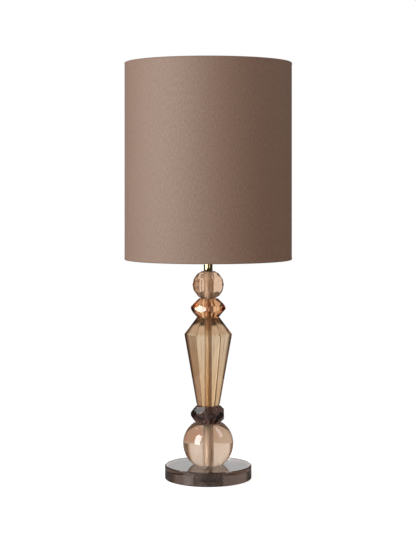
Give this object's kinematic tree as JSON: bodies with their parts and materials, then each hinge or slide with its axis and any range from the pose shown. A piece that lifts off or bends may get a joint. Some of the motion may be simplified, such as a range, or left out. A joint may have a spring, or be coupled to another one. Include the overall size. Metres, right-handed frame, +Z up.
{
  "type": "candlestick table lamp",
  "caption": "Table lamp with a fabric drum shade on a stem of cut glass pieces over a round glass foot.",
  "frame": {"origin": "on the surface it stands on, under the middle of the foot", "axes": "+Z up along the stem, -Y towards the viewer of the front, cord hole at +Y"},
  "size_m": [0.2509, 0.2508, 0.6223],
  "materials": {
    "felt": "matte",
    "smoky_glass": "polished",
    "peach_glass": "polished",
    "dark_glass": "polished",
    "amber_glass": "polished",
    "orange_glass": "polished",
    "rose_glass": "polished",
    "clear_plastic": "glossy",
    "polished_brass": "polished",
    "zinc_steel": "satin",
    "black_plastic": "satin",
    "white_plastic": "satin",
    "steatite": "matte",
    "white_wire": "gloss",
    "liner_sheet": "matte",
    "shade_fabric": "woven",
    "bulb_glass": "polished",
    "black_glass": "glossy",
    "filament_coat": "satin"
  },
  "bodies": {
    "stand": {"base_pad": "felt", "base_disc": "smoky_glass", "cord_bush": "black_plastic", "base_washer": "zinc_steel", "lock_washer": "zinc_steel", "base_nut": "zinc_steel", "threaded_tube": "zinc_steel", "big_ball": "peach_glass", "lower_rondelle": "dark_glass", "tapered_column": "amber_glass", "upper_rondelle": "orange_glass", "faceted_ball": "rose_glass", "spacer_washers": "clear_plastic", "neck_tube": "polished_brass", "holder_cap": "black_plastic", "grub_screw": "zinc_steel", "holder_insert": "steatite", "terminal_screws": "zinc_steel", "centre_contact": "polished_brass", "screw_shell": "polished_brass", "holder_skirt": "black_plastic"},
    "shade_carrier": {"reducer_ring": "white_plastic"},
    "shade": {"spider_hub": "white_wire", "spider_spoke_1": "white_wire", "spider_spoke_2": "white_wire", "spider_spoke_3": "white_wire", "bottom_wire": "white_wire", "top_wire": "white_wire", "shade_liner": "liner_sheet", "shade_cover": "shade_fabric", "bottom_hem": "shade_fabric", "top_hem": "shade_fabric"},
    "shade_nut": {"ring_nut": "black_plastic"},
    "bulb_contact": {"bulb_tip": "zinc_steel"},
    "bulb": {"bulb_insulator": "black_glass", "bulb_cap": "zinc_steel", "bulb_glass": "bulb_glass", "bulb_stem": "bulb_glass", "filament_supports": "zinc_steel", "filaments": "filament_coat"}
  },
  "joints": [
    {"name": "shade_lift", "type": "slide", "parent": "stand", "child": "shade_carrier", "axis": [0, 0, 1], "range_m": [0, 0.13]},
    {"name": "shade_turn", "type": "hinge", "parent": "shade_carrier", "child": "shade", "pos_m": [0, 0, 0.3593], "axis": [0, 0, 1], "continuous": true},
    {"name": "ring_nut_turn", "type": "hinge", "parent": "shade_carrier", "child": "shade_nut", "pos_m": [0, 0, 0.3643], "axis": [0, 0, 1], "range_deg": [0, 1080]},
    {"name": "bulb_rise", "type": "slide", "parent": "stand", "child": "bulb_contact", "axis": [0, 0, 1], "range_m": [0, 0.0113]},
    {"name": "bulb_turn", "type": "hinge", "parent": "bulb_contact", "child": "bulb", "pos_m": [0, 0, 0.3558], "axis": [0, 0, 1], "range_deg": [0, 1440]}
  ],
  "couplings": [
    {"joint": "bulb_rise", "follows": "bulb_turn", "m_per_rad": 0.00044882}
  ]
}
